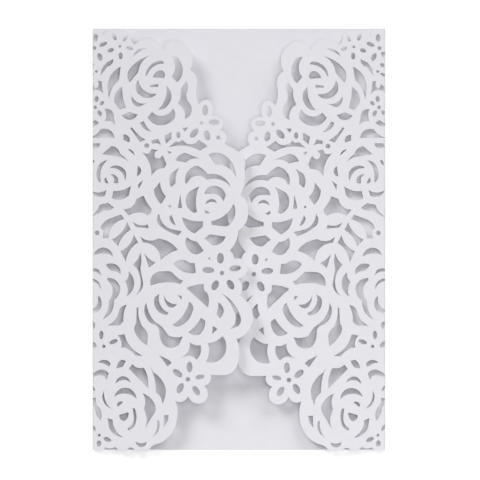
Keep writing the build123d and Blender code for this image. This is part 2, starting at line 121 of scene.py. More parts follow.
# %% The flap's edge
# An outline is corner, via, corner, via and so on, and its last side goes back to the first corner.
# A side is an arc through its via, or straight where the via is None. What lies past the fold or
# past the top or bottom of the card is cut off later.
FLAP_EDGE_PX = [
    (80, 20), None, (100, 28), (102.6, 31), (104, 35), (112, 28.6), (121, 31), (128.3, 31), (131.2, 37),
    (132.3, 41.8), (136, 44), (149, 38.6), (164, 50.5), (170, 42), (176, 40.5), (189.5, 48.8),
    (193.4, 61), (192.6, 66), (190.5, 70), (196.3, 76), (197.4, 85), (196.6, 95), (199.5, 105),
    (206.5, 99.8), (213, 106), (213.5, 111), (212.4, 116), (218.5, 116.7), (223.3, 121), (223.3, 126),
    (220.3, 130), (226.6, 135.5), (224.8, 143.6), None, (237, 150.7), (243.3, 156.5), (244.8, 168),
    (244.6, 183), (240.8, 195.5), (247, 202.5), (248.2, 211.5), (245.5, 223.5), (238.2, 231),
    (235.8, 242.3), (230.2, 250.2), (233, 254), (234.3, 258.8), (243, 259.7), (247.8, 265.5),
    (246, 274), (238.5, 278.5), (242.3, 286), (240, 295.5), (249, 304), (253.2, 316), (249.7, 329),
    (236.8, 339), (239.7, 352), (236.5, 367), (231, 373), (224, 375), None, (210.7, 374.8),
    (210.3, 381.3), (204.5, 385.7), (208.2, 393), (206.5, 400), (197, 403.4), (188.6, 396),
    (183.5, 401.3), (176, 400.8), (178, 414.5), (174.5, 429), (167.5, 438.5), (155, 444.8),
    (151.7, 446.8), (149.5, 450), None, (149.5, 456), None, (135, 456), None, (135, 450),
    (131.5, 447.6), (127.5, 450), None, (127.5, 456), None, (119, 456), None, (119, 450), None,
    (115.5, 447.2), (110.3, 448.6), (105, 447.3), None, (105, 456), None, (80, 456), None,
]
print("the flap's edge has", len(FLAP_EDGE_PX) // 2, "corners")

# %% Openings of the top rose and the spray beside it
TOP_ROSE_PX = [
    [(147.5, 48.2), (139.2, 49.2), (134, 55.8), (140.8, 51)],
    [(151.5, 55.2), (138, 61.2), (130.3, 68.5), (128, 75), (130.2, 82.3), None, (138.8, 72),
     (142.5, 62)],
    [(165, 63.7), None, (162.8, 60.9), (152, 64.2), (145.9, 75.6), None, (147.6, 75.2), (153.2, 67.2)],
    [(153.2, 77.2), (156.2, 72.3), (160.5, 70.3), (165, 73), (164.2, 78), None],
    [(121.2, 66.5), (110.5, 76.5), (108, 87), None, (109.6, 99.3), (112, 89.5), (119.5, 80), None],
    [(122.8, 86.3), (116.5, 92.5), (114.7, 102), None, (120, 109.5), None, (126.5, 107.5), (123.8, 99)],
    [(122.3, 115), None, (129.7, 111.9), None, (138, 114.5), (130, 119.6)],
    [(152.5, 112), (163, 115.8), (173.2, 108.8), (175.8, 114.5), (171.5, 121.5), (160, 125.3),
     (148, 117.2), None],
    [(140.6, 122.3), (143.8, 128), (151.8, 131.5), (147, 126.3), (144.2, 121), None],
    [(130.4, 127.8), None, (140.4, 142), None, (146, 139.7), (138.8, 134.6), (132.6, 127), None],
    [(138.8, 79.5), (136.3, 88), (142, 96.2), (150, 97.9), (157.2, 93.6), (146, 91.3)],
    [(150.8, 85.3), None, (158.8, 83.9), None, (158.8, 86.9), None, (150.8, 86.9), None],
    [(132.3, 95.8), (133, 102.3), (139, 106.7), None, (147.8, 103), (138.6, 102.4)],
    [(166.9, 85.8), (171.8, 94), (168.8, 104.5), (165, 108.3), (159, 109.3), (165.4, 99.2)],
    [(171.3, 56.8), (176.5, 56.3), (180, 60.8), (183.3, 71), (177.3, 82.3), None, (172, 76.3),
     (175.7, 66.5)],
    [(186.6, 80.8), (188.5, 87), (186.3, 94.5), None, (188, 101.2), (192.2, 109.5), (185.2, 119),
     (184.4, 110.5), (178, 103.6), (181, 97), (181, 89.5), None],
]

TOP_SPRAY_PX = [
    [(113.7, 58.8), (112.8, 63), (107.5, 66.3), (104.8, 70.5), (100.2, 75.6), (101.9, 72.2), (101.9, 69),
     None, (107, 62.3), None],
    [(98.3, 80.8), None, (101.8, 81), None, (103.9, 94), (98, 89.8), (90, 92.5), None, (90, 87), None,
     (93.8, 84), (94.6, 86.8), (96.6, 88.2), (98.7, 86)],
    [(105.2, 109), (111, 109.8), (113.8, 113.5), None, (115.7, 124.8), (111, 121.2), (105, 121.1),
     (106.9, 115.5)],
    [(89, 124.3), None, (95.8, 119.9), None, (99.4, 122.7), (96.5, 124.9), (89.5, 127), None],
    [(89.5, 137.6), (97, 134), (101, 129.2), (110.5, 130.2), (115, 137.7), None],
    [(171.9, 131.8), None, (171.9, 138.9), None, (166.4, 143.6), None, (164.9, 136), None],
    [(169.3, 147.3), None, (176.3, 141.2), (179.5, 142), (182.6, 139.7), (190.5, 144.2), (199.3, 139.8),
     None, (208.2, 146.2), None, (200.4, 150.8), (186.5, 145.9)],
    [(168, 150.8), None, (172, 152.3), None, (169.3, 153.9), None],
    [(183, 128), None, (188.8, 127.3), None, (185, 132), None],
]
print("top rose", len(TOP_ROSE_PX), "openings, spray", len(TOP_SPRAY_PX))

# %% Openings of the rose at the fold
FOLD_ROSE_PX = [
    [(89, 148.5), None, (92, 143.3), None, (100.5, 143), (99.6, 146), (96.5, 148), None],
    [(102.8, 153.9), None, (111.8, 146), (117.5, 148.3), (120.4, 153.5), None, (124, 156), None,
     (129.2, 162), (125.3, 158.9), (120.8, 157), None],
    [(108.2, 160), (101.2, 163), (97.6, 170), (97, 176), (100.4, 182.6), None, (101.6, 180.2),
     (101.7, 169)],
    [(110.4, 167.5), (115, 165.4), (120.5, 166.3), (126.5, 172.8), (125.5, 180.1), (122.3, 172.6),
     (117, 168.5), None],
    [(106.2, 177.1), None, (109, 183.1), None, (106.1, 183), (104.8, 180)],
    [(110.9, 174.2), (116.5, 175.7), (118.6, 183.2), None, (114.1, 183), (114.3, 178)],
    [(123.9, 134.5), (128.8, 136.2), (129.8, 142.2), None, (124, 139.9), None],
    [(128.3, 149.1), (132.4, 150.2), (135, 155.1), None],
    [(152.1, 140.4), None, (158.6, 138.8), None, (161.6, 145.3), (157, 143.1), (152.8, 143.8), None],
    [(142.8, 152.3), (147, 153.6), (150, 153), None, (152.2, 149), None, (158.5, 150.3), (154.9, 154.8),
     (156.4, 158.2), (160.7, 157.8), (162.9, 154.7), None, (167, 164), None, (164.8, 168), (157, 170.3),
     (152, 175.8), (150.8, 165.8)],
    [(138.3, 165.8), (141.6, 170.8), (137.3, 175.9), None],
    [(143.8, 179.8), None, (139.1, 189.4), None, (138.5, 184.3), None],
    [(160.6, 181.8), (161.8, 189.5), (166.6, 196.3), None, (161.5, 204.1), (156, 196.5), (154.6, 189.5),
     None],
    [(91, 190.3), (99, 192.5), (106.8, 189.7), None, (105.5, 195.5), (98.5, 196.8)],
    [(113.8, 190.7), (122.5, 190.3), (131.3, 185.8), None, (129.3, 195.3), (121, 199.6), (112.2, 197.9),
     None],
    [(90, 217.3), (97, 211), (100.2, 204.7), None, (108.8, 202.9), None, (114.6, 207.5), (110.5, 209.8),
     (104, 210.4), (98, 213.8)],
]
print("rose at the fold", len(FOLD_ROSE_PX), "openings")

# %% Openings of the middle rose
MIDDLE_ROSE_PX = [
    [(176.3, 160.6), (180.8, 154.5), (186, 152.9), None, (200.2, 158.8), (192.3, 159), (186.3, 162.5),
     None],
    [(179.4, 167.9), (176.4, 175.5), (176.1, 183.2), None, (171.5, 187.2), (169.8, 180.5), (172, 173),
     None],
    [(186, 183.8), (187.5, 172.3), (197.6, 165.7), (203.4, 169.2), (208.3, 174.3), (222, 176.3),
     (230.8, 187), (219.5, 179.4), (207.3, 180), (197, 175.8), (187.6, 183.3), None],
    [(199.8, 186.1), (196.4, 198.5), (197.4, 211.5), None, (195.2, 213), (188, 207.5), (190, 191.3),
     None],
    [(204.9, 193.9), (207.8, 188), (213, 185.9), (222.5, 189), (226.2, 195.5), None, (223.6, 201.5),
     (219.2, 195.6), (213, 193.7), None],
    [(206.1, 204.3), (211.2, 198.9), (217.4, 203.1), (211.5, 202)],
    [(205.3, 209.9), None, (210.3, 212.5), None, (207.3, 213.9), None, (205, 212.4), None],
    [(180.8, 193.9), None, (182.4, 208), None, (178.2, 207.8), None],
    [(208.9, 154.6), (217, 152.6), (225, 155.3), (232.5, 163.3), (236, 177.5), (228, 167.5),
     (215.3, 164.4), None],
    [(233.8, 203.8), (235.4, 214), (229, 225.3), None, (226, 226.6), None, (211.9, 224.9), None,
     (211.9, 221.1), (225.5, 214.8)],
]
print("middle rose", len(MIDDLE_ROSE_PX), "openings")

# %% Openings of the fern leaves
FERN_PX = [
    [(123.9, 209.3), (132.5, 206.6), (137, 198.9), None, (144, 195.7), (147.3, 202.3), (152.2, 208.8),
     None, (151.5, 212.3), None, (148.4, 215.3), (139, 212.3), (129.5, 215.5), None],
    [(101, 227.6), (104, 222.8), (108.3, 219.3), None, (121.6, 214.5), None, (124.9, 219),
     (113.6, 225.2), (109, 238), None, (103, 238.2), None, (104.3, 231.3), None],
    [(127.5, 221.8), None, (131.2, 229.5), (123.5, 236.3), (118.6, 246.2), None, (112.3, 239.4),
     (121.5, 232.9)],
    [(132.8, 221.4), (138.5, 224.6), (148.2, 224.4), None, (149.3, 228.2), None, (136.4, 227), None],
    [(134.3, 234.5), None, (138.4, 242.5), (131, 249.3), (126.4, 261.9), None, (121.1, 251),
     (130.2, 244.2)],
    [(159.5, 213.6), (163.5, 223.6), (171, 229), None, (182.2, 231.2), None, (178.7, 235.4),
     (169, 231.6), (160.5, 226), (157.4, 220.5)],
    [(140.7, 236.2), (149.5, 240.6), (158.3, 238.6), (170, 242.2), (178.3, 250), (168.5, 254.4),
     (161.2, 260.3), (156.5, 248.2), (143.2, 242.3), None],
    [(171.8, 214.7), None, (176, 225.2), (171.2, 221.6), (169.9, 217), None],
    [(182.7, 217.2), (192, 220.5), (203.5, 221.2), None, (203.2, 226.7), None, (195, 233.6),
     (187.3, 228)],
    [(204.9, 238.6), None, (210, 234.3), None, (225.9, 236.6), (221.5, 242.8), (213, 245.4), None],
    [(187.4, 236.8), (191.5, 240), (197.2, 241.2), None, (203.8, 250.3), (196.5, 254.2), (188.7, 249.6),
     (185.8, 242.5)],
    [(209.5, 256.8), None, (211.3, 259.8), None, (208.2, 259), None],
    [(174, 263.4), (179.6, 260.1), (185.3, 260), None, (190.3, 262.9), None, (195, 263), None,
     (196.2, 272.7), (184.5, 272)],
    [(94.2, 255.2), (103.5, 247.6), (113.4, 256.4), (103.5, 253.4)],
    [(88, 270.5), (95.5, 268.5), (99.3, 270), None, (102.2, 276), (96.5, 272), (88, 272.7), None],
    [(88, 279.6), (95.7, 279.5), (101, 289.3), (97, 283.4), (88, 281.8), None],
    [(106.3, 264.9), (114.5, 263.8), (121, 270), None, (120.9, 274.4), (117, 271.6), (111.3, 271),
     None],
    [(129, 271.6), (134.6, 281.8), (127, 296.3), (128.3, 288.5), (125.5, 281.3), (128.6, 277.5)],
    [(140.8, 252.2), (141.9, 259), (140.8, 268), None, (143.8, 284), (142, 289.8), (136.1, 295.3),
     (140.7, 286.5), (140.2, 275.5), (138, 269.9), (133.4, 264.4), (138, 259.5)],
    [(145, 253.5), (149.3, 258.4), (156.3, 262.5), None, (149.3, 267.7), None],
]
print("fern", len(FERN_PX), "openings")

# %% Openings of the lower rose
LOWER_ROSE_PX = [
    [(108.3, 277.8), (117.5, 281.6), (120.9, 289), (118.8, 295.6), (114.3, 300.3), (112.3, 311.3),
     (103.2, 319.2), (108, 311), (109.2, 301), (112.7, 295), (113.3, 290), (112, 284.8), (107.8, 280.3),
     None],
    [(98.8, 295.8), (102.3, 303.5), (99.5, 310.8), None, (88, 316.5), None, (88, 311), (95.3, 307.6),
     (98.2, 303), None],
    [(127.2, 305), (124.6, 311.5), (124, 321.5), None, (120, 325.4), None, (108.2, 325.6),
     (115.8, 319.6), (119.5, 312), (122, 307)],
    [(138.8, 306.8), (139.4, 317.5), (142.6, 326.4), (147.2, 331.5), (148.1, 339), None, (147.6, 345.6),
     (140.8, 340.2), (135.3, 332.2), (134.7, 327.8), (136.7, 323.3), None, (137.2, 308.2), None],
    [(146.7, 302.6), (145.2, 314), (154, 324.6), (158.8, 327.7), (159.8, 331.5), (160.5, 337.8),
     (163.3, 344.2), (171, 347.9), (180, 343.8), None, (183.2, 336.3), (175, 337.2), (168.3, 335), None,
     (162.8, 327), None, (154.5, 320.8), (149.7, 313.5)],
    [(151.2, 285.6), (153.2, 275.3), (161, 271.3), None, (171, 271.2), None, (180.3, 279.6), None,
     (183.3, 280.2), None, (181, 284.1), (166, 282.3)],
    [(159.9, 293.7), None, (155.3, 297), (157.8, 310.5), (167.5, 314.9), None, (169.2, 312.6),
     (161.2, 306)],
    [(164.2, 294.3), (168.2, 301.4), (177.3, 303.9), (170.5, 307.4), (167.3, 305.2), (164.8, 299.5)],
    [(178, 294.8), None, (182.3, 296), None, (181.8, 299.8), None],
    [(186.8, 288), (195.5, 285), (204, 284), None, (204.6, 290.4), None, (208.2, 293.6), (209.2, 300),
     (208.2, 307.8), None],
    [(189.6, 301.8), (193.6, 307.5), (192.3, 313), (186.8, 322), (177, 326.9), None, (172.9, 324.9),
     (183.3, 315.5)],
    [(218.4, 302.4), (223.9, 310.5), (220.2, 318.3), None, (216.2, 313.6), (218.4, 308)],
    [(222, 293.3), (234.2, 303.8), (241.2, 318), (240.2, 323.5), (237.7, 326.3), None, (230.2, 329.2),
     (234.8, 323.5), (233.8, 310), (228.8, 300.7)],
    [(201.4, 317.7), None, (205.5, 320.6), (204.3, 328.6), (199.8, 334.5), (194.5, 335), (188.8, 332.1),
     (196.4, 325)],
    [(213.2, 325.8), None, (217.8, 328.8), None, (212.4, 334.4), None],
    [(222.6, 335.9), (226.7, 347), (221, 359), (214.5, 362.2), (206.3, 361.6), (209.3, 352.5),
     (208.2, 343.2), (216.3, 341)],
    [(190.2, 342.3), (194, 344.6), (200.7, 344.9), (201.2, 352), (196.7, 359.5), (192.5, 356.5),
     (187.5, 355.9), None, (180.2, 357.8), (188, 352.2)],
    [(118.2, 335.4), None, (124.9, 334.3), (131.3, 347), (143.3, 355.6), None, (136.3, 355.9),
     (131.3, 351.2), (125.5, 347.5), None, (121.5, 347.4), (121.6, 341)],
    [(159.3, 354.8), None, (169.5, 360), None, (172.1, 363), None, (167.8, 366.5), None],
]
print("lower rose", len(LOWER_ROSE_PX), "openings")

# %% Openings of the bottom rose
BOTTOM_ROSE_PX = [
    [(98.7, 362.7), (104.3, 360), (111.1, 363.9), None, (109.6, 367), (104.5, 364)],
    [(117, 368.6), (118.5, 363.3), (122, 359.7), None, (126.4, 360.8), None, (123.3, 366.8), None],
    [(88, 381.5), (94, 373.3), (100.8, 369.9), (106.3, 370.8), (109.1, 373.9), None, (106.9, 380.3),
     (104.8, 376.8), (100.5, 375.4), (95, 376.8)],
    [(129.2, 368.6), None, (132.9, 364.2), (136, 366.9), (144.2, 367.5), (147.7, 375.5), (148.6, 388.3),
     None],
    [(150.4, 366), None, (153.9, 372.3), (161.8, 379.5), (166.2, 389), (165.8, 396.5), (162.6, 404.2),
     (161, 397.3), (156, 392.4), (155.6, 382.5)],
    [(116.1, 384.1), (123.6, 376.4), (130.9, 382.6), (123.6, 380)],
    [(114.9, 396.8), (124, 388), (136.9, 399), (124.3, 393.6)],
    [(104.7, 390.2), (105.6, 400), (111.9, 408.9), (104.2, 402.3), (102.6, 395.8), None],
    [(123.8, 402.2), None, (118.4, 407), None, (117.2, 405), (118.6, 402.6)],
    [(143.1, 393.3), (150, 397.2), (155.2, 404), (156, 409.5), (152.8, 416.2), None, (144.3, 430.7),
     (147.3, 421), (145.8, 413.2), None, (144.3, 408.6), (145.8, 401)],
    [(88.5, 399), None, (96.2, 398), (96.6, 403), (98.3, 406.3), (101.9, 412.5), (101, 420.4),
     (97.2, 415.5), (95.9, 409), None],
    [(119.9, 415), None, (128.9, 412.3), (128.3, 417.8), (124.6, 421.2), (121.2, 419.6)],
    [(133, 408.3), None, (135.1, 408.2), (137, 417), (134.6, 426.8), None, (129.4, 430.9), None,
     (127.9, 428.6), (132.7, 424), (134.2, 416.5), None],
    [(108.1, 418.3), None, (113.1, 420.1), (115.2, 428.8), (123.9, 437.4), (114.5, 434.3),
     (109.5, 427.5), None],
    [(157.4, 420.3), None, (159.2, 420.6), (160.2, 427), (157.6, 433.2), None, (153, 437.1),
     (157.2, 428.5)],
    [(164.3, 415.2), None, (169.2, 415.2), None, (168.3, 421.3), None, (164.2, 427), None],
    [(136.3, 442), (141.5, 443.3), (147, 442.2), (141.5, 447.3)],
]
print("bottom rose", len(BOTTOM_ROSE_PX), "openings")

# %% Petals and round piercings
# Petals: middle, length, width, and the angle of the length above the +X direction, in degrees
PETALS_PX = [
    (96.1, 37.5, 7.6, 4.6, 85), (103.7, 44, 8.2, 3.9, 24), (100.4, 56.7, 8, 4.6, -66),
    (90.5, 54.5, 7.5, 4.4, -130), (114.9, 36.8, 7, 3.8, 115), (125.7, 38.3, 6.5, 3.4, 55),
    (130.3, 48, 6.5, 3.6, -18), (121.1, 55.6, 6.8, 4, 90), (111.2, 50, 6.4, 3.8, 18),
    (92, 65, 5, 3.5, 40), (91.5, 74.5, 6, 2.8, 30), (97.1, 98.8, 6, 4, 80), (102.3, 103, 5.2, 3.3, 42),
    (100.1, 113, 6.4, 3.8, -62), (91.5, 112.5, 5, 3.6, 60), (205.6, 110.3, 10.5, 6, 86),
    (214.5, 122.2, 10.8, 5.6, 0), (207.5, 135.5, 10, 6, -78), (194.5, 133.2, 11, 6, 48),
    (178.8, 134.8, 6.6, 4.2, 90), (93, 162.5, 6, 2.4, 60), (220.7, 258.2, 10.6, 6.8, 90),
    (235.3, 268.2, 11.5, 6, 8), (208.7, 270, 11.6, 6.2, -4), (215.3, 285.3, 10.6, 6.6, 62),
    (230.8, 284.7, 10.4, 6.6, -60), (93, 325.2, 7.4, 5, -80), (101.8, 335, 8.4, 4.2, 88),
    (114, 341.8, 8.6, 4.2, 22), (93.2, 344.2, 9.5, 4.6, -40), (189.9, 366.9, 10.6, 5.8, 90),
    (178, 373.2, 11, 6, -38), (200.3, 376.9, 9, 4.6, 12), (180.6, 388.1, 11, 6, 62),
    (196.5, 390.6, 10.8, 5.8, -55), (93.6, 388.6, 6, 2.6, -58), (93.4, 427.8, 8, 3.6, -48),
    (107.8, 439.7, 8, 4.4, -22), (99.4, 443.9, 6.6, 4.6, 90),
]

# Round piercings: middle and diameter
DOTS_PX = [
    (94.8, 47.8, 3.8), (120.5, 46.2, 2.9), (96.8, 71.2, 2.6), (95.6, 107.2, 3.4), (201.8, 123, 3.6),
    (218.7, 137.6, 4.2), (147.1, 145.6, 4.8), (170.3, 206.2, 2.6), (97.6, 232.9, 4.6),
    (222.2, 273, 4.3), (104.3, 346.5, 3.3), (188.1, 379.3, 4.6), (99.7, 435.4, 3),
]
print(len(PETALS_PX), "petals and", len(DOTS_PX), "round piercings")

# %% [markdown]
# ## From the drawing to the blank
# The photograph looks down on a flap and on the bend at its fold, which turns away from the view, so
# the pixels near a fold are pressed together. The blank is flat: there, a place on the bend goes as
# far out as the middle of the card's thickness does round it. Arcs become short straight steps,
# close enough to the true curve that no corner shows.


# %% Places on the flat blank
def bend_length(flap):
    """How much of the blank goes round the bend of a fold."""
    return middle_radius * (pi - flap.slope)


def on_slope(pixel, flap):
    """A photograph pixel in millimetres on a flap: along its slope from the fold, and up the card."""
    along = (pixel[0] - flap.fold_px) * mm_per_px / cos(flap.slope)
    up = (middle_py - pixel[1]) * mm_per_py
    return (along * cos(flap.turn) + up * sin(flap.turn), up * cos(flap.turn) - along * sin(flap.turn))


def on_blank(place, flap):
    """A place on a flap's slope as a point of the flat blank."""
    past_bend = place[0] - outer_radius * cos(flap.slope)
    if past_bend < 0:
        past_bend = -middle_radius * asin(-past_bend / outer_radius)
    across = flap.side * (bend_x + bend_length(flap) + past_bend)
    return (across, max(-card_height / 2, min(card_height / 2, place[1])))


bends = [round(bend_length(flap), 2) for flap in (left_flap, right_flap)]
top_corner = on_blank(on_slope(FLAP_EDGE_PX[2], left_flap), left_flap)
print("the bends take", bends, "mm of the blank")
print("the left flap's top corner lies at", [round(c, 1) for c in top_corner], "mm on the blank")

# %% Arcs
ARC_TOLERANCE = 0.02
FEWEST_ARC_STEPS = 2


def arc_steps(start, via, end):
    """Points from start up to, but not including, end on the arc through via."""
    # The arc's middle (x, y) is equally far from all three places
    ax, ay = start
    bx, by = via
    cx, cy = end
    spread = 2 * (ax * (by - cy) + bx * (cy - ay) + cx * (ay - by))
    a2 = ax * ax + ay * ay
    b2 = bx * bx + by * by
    c2 = cx * cx + cy * cy
    x = (a2 * (by - cy) + b2 * (cy - ay) + c2 * (ay - by)) / spread
    y = (a2 * (cx - bx) + b2 * (ax - cx) + c2 * (bx - ax)) / spread
    radius = hypot(ax - x, ay - y)
    first = atan2(ay - y, ax - x)
    turn = (atan2(cy - y, cx - x) - first) % (2 * pi)
    if (atan2(by - y, bx - x) - first) % (2 * pi) > turn:
        turn -= 2 * pi
    widest_step = 2 * acos(1 - min(ARC_TOLERANCE / radius, 1))
    steps = max(FEWEST_ARC_STEPS, ceil(abs(turn) / widest_step))
    angles = [first + turn * step / steps for step in range(steps)]
    return [(x + radius * cos(angle), y + radius * sin(angle)) for angle in angles]


print("a half circle of 10 mm takes", len(arc_steps((-5, 0), (0, 5), (5, 0))), "steps")


# %% Outlines
def up_to_fold(ring):
    """A ring on a slope with what would lie past the fold's outer edge cut off."""
    kept = []
    for before, place in zip(ring[-1:] + ring[:-1], ring):
        if (before[0] < 0) != (place[0] < 0):
            share = before[0] / (before[0] - place[0])
            kept.append((0, before[1] + share * (place[1] - before[1])))
        if place[0] >= 0:
            kept.append(place)
    return kept


def outline_ring(points_px, flap):
    """The ring of a corner-and-via outline on the blank."""
    corners = [on_slope(pixel, flap) for pixel in points_px[0::2]]
    ring = []
    for corner, via, following in zip(corners, points_px[1::2], corners[1:] + corners[:1]):
        ring += [corner] if via is None else arc_steps(corner, on_slope(via, flap), following)
    return [on_blank(place, flap) for place in up_to_fold(ring)]


print("the left flap's edge becomes a ring of", len(outline_ring(FLAP_EDGE_PX, left_flap)), "points")


# %% Ovals
def oval_ring(x, y, length, width, angle, flap):
    """The ring of an oval piercing on the blank, with the same number of points in each quarter."""
    half_length = length / 2 * mm_per_px
    steps = 4 * ceil(pi / 4 / acos(1 - ARC_TOLERANCE / half_length))
    turn = radians(angle)
    ring = []
    for step in range(steps):
        along = length / 2 * cos(2 * pi * step / steps)
        across = width / 2 * sin(2 * pi * step / steps)
        pixel = (x + along * cos(turn) - across * sin(turn), y - along * sin(turn) - across * cos(turn))
        ring.append(on_slope(pixel, flap))
    return [on_blank(place, flap) for place in up_to_fold(ring)]


print("the first petal becomes a ring of", len(oval_ring(*PETALS_PX[0], left_flap)), "points")

# %% [markdown]
# ## Cutting the blank
# Blender fills a flat curve and leaves each ring inside another ring open, which is just what the
# laser does. So the blank is one flat curve: its rim runs down the left flap's edge, along the
# bottom of the back and up the right flap's edge, and every opening is a ring inside that rim.
# The curve's extrusion gives the card its thickness, and converting it gives a mesh to fold.

# %% Rings of the blank
roses = TOP_ROSE_PX + FOLD_ROSE_PX + MIDDLE_ROSE_PX + LOWER_ROSE_PX + BOTTOM_ROSE_PX
rim = outline_ring(FLAP_EDGE_PX, left_flap) + outline_ring(FLAP_EDGE_PX, right_flap)[::-1]
rings = [rim]
for flap in (left_flap, right_flap):
    rings += [outline_ring(points_px, flap) for points_px in roses + TOP_SPRAY_PX + FERN_PX]
    rings += [oval_ring(*petal_px, flap) for petal_px in PETALS_PX]
    rings += [oval_ring(x, y, across, across, 0, flap) for x, y, across in DOTS_PX]
print("the rim has", len(rim), "points, and there are", len(rings) - 1, "openings")

# %% Draw the blank
# Points that lie closer together than this count as one
SAME_POINT = 0.002

drawing = bpy.data.curves.new("lace_drawing", "CURVE")
drawing.dimensions = "2D"
drawing.fill_mode = "BOTH"
drawing.extrude = stock_thickness / 2
for ring in rings:
    points = [(x, y) for (x, y), before in zip(ring, ring[-1:] + ring[:-1])
              if hypot(x - before[0], y - before[1]) > SAME_POINT]
    spline = drawing.splines.new("POLY")
    spline.points.add(len(points) - 1)
    for point, (x, y) in zip(spline.points, points):
        point.co = (x, y, 0, 1)
    spline.use_cyclic_u = True
print("the drawing has", len(drawing.splines), "rings and",
      sum(len(spline.points) for spline in drawing.splines), "points")

# %% Cut the blank out
# A face lies flat where its normal rises or falls by more than this, and is on a cut edge otherwise
LIES_FLAT = 0.5

card = bpy.data.objects.new("lace_card", drawing)
bpy.context.collection.objects.link(card)
bpy.ops.object.select_all(action="DESELECT")
card.select_set(True)
bpy.context.view_layer.objects.active = card
bpy.ops.object.convert(target="MESH")
bpy.ops.object.mode_set(mode="EDIT")
bpy.ops.mesh.select_all(action="SELECT")
bpy.ops.mesh.remove_doubles(threshold=SAME_POINT)
bpy.ops.mesh.normals_make_consistent(inside=False)
bpy.ops.object.mode_set(mode="OBJECT")

# %% [markdown]
# ## Scoring and folding
# A fold needs edges to bend along. Bisecting the blank at even steps across each bend adds them, as
# a scoring tool presses lines into the card. One line more on either side of a bend keeps its round
# shading off the flat card. Then every point is carried round: a point on the bend turns about the
# bend's middle, and a point on the flap goes on straight from there, along the slope. The blank's
# upper side ends up inside the folds.

# %% Score the folds
BEND_STEPS = 10

bpy.ops.object.mode_set(mode="EDIT")
for flap in (left_flap, right_flap):
    for step in range(-1, BEND_STEPS + 2):
        line_x = flap.side * (bend_x + bend_length(flap) * step / BEND_STEPS)
        bpy.ops.mesh.select_all(action="SELECT")
        bpy.ops.mesh.bisect(plane_co=(line_x, 0, 0), plane_no=(1, 0, 0))
bpy.ops.mesh.select_all(action="SELECT")
bpy.ops.mesh.remove_doubles(threshold=SAME_POINT)
bpy.ops.object.mode_set(mode="OBJECT")
cut_faces = [face.index for face in card.data.polygons if abs(face.normal.z) < LIES_FLAT]
print("scored blank has", len(card.data.polygons), "faces,", len(cut_faces), "of them on cut edges")

# %% Fold the flaps over
# Faces that meet at less than this angle are shaded as one round surface
SMOOTH_UNDER = radians(30)


def folded(point, flap):
    """Where a point of the blank, past the fold's start, lies on the folded card."""
    past_start = flap.side * point.x - bend_x
    turn = min(past_start, bend_length(flap)) / middle_radius
    radius = middle_radius - point.z
    on_flap = max(0, past_start - bend_length(flap))
    x = bend_x + radius * sin(turn) - on_flap * cos(flap.slope)
    z = outer_radius - radius * cos(turn) + on_flap * sin(flap.slope)
    return Vector((flap.side * x, point.y, z))


for vertex in card.data.vertices:
    if abs(vertex.co.x) <= bend_x:
        vertex.co.z += stock_thickness / 2
    else:
        vertex.co = folded(vertex.co, left_flap if vertex.co.x < 0 else right_flap)
    vertex.co *= MM
bpy.ops.object.shade_smooth_by_angle(angle=SMOOTH_UNDER)
print("folded card fills", [round(size / MM, 2) for size in card.dimensions], "mm")

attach(card, "root")
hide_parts("gatefold_card")

# %% [markdown]
# ## Finishes
# The stock is pearl card: pressed wood fibre under a thin coat that holds mica flakes. To the eye it
# is a cool white with a touch of lilac and a soft sheen. Held close, it shows a faint cloudiness
# where the fibre lies thicker, a fine grain, and flakes that shine a little more or less than their
# neighbours. A picture of real card could be wrapped over the sheet, but patterns that are worked out
# from sizes in millimetres stay sharp at any distance, so each finish is made of nodes.


# %% Colours and nodes
def srgb(hex_colour):
    """A hex colour as the linear values that Blender's sockets take."""
    channels = [int(hex_colour[i:i + 2], 16) / 255 for i in (1, 3, 5)]
    return [c / 12.92 if c <= 0.04045 else ((c + 0.055) / 1.055) ** 2.4 for c in channels] + [1]


def add_node(material, kind, settings=None, links=None):
    """A node with its settings, and with links to its inputs, by name or number, from other outputs."""
    node = material.node_tree.nodes.new(kind)
    for name, value in (settings or {}).items():
        if name in node.inputs:
            node.inputs[name].default_value = value
        else:
            setattr(node, name, value)
    for name, output in (links or {}).items():
        material.node_tree.links.new(output, node.inputs[name])
    return node


def new_finish(name, roughness):
    """A node material and its shader."""
    material = bpy.data.materials.new(name)
    material.use_nodes = True
    shader = material.node_tree.nodes["Principled BSDF"]
    shader.inputs["Roughness"].default_value = roughness
    return material, shader


print("pearl white is", [round(value, 3) for value in srgb("#E4E3E9")], "in linear light")

# %% [markdown]
# ### Pearl card stock
# Clouds a few millimetres wide shift the colour by about one step in a hundred. Fibres raise a low
# grain. Mica flakes change how sharply each spot shines; real flakes are a few hundredths of a
# millimetre, too fine for a picture of a whole card, so they are drawn ten times as coarse. At the
# folds the scoring tool has pressed and cracked the coat, which leaves a slightly paler line along
# the very edge of the card. It is the same colour ramp, pushed further by the distance to the edge.

# %% Pearl card stock: coated wood fibre, a cool white with a soft sheen
FIBRE_CLOUD = 4.0
SCORE_WIDTH = 0.6
SCORE_WEAR = 0.5

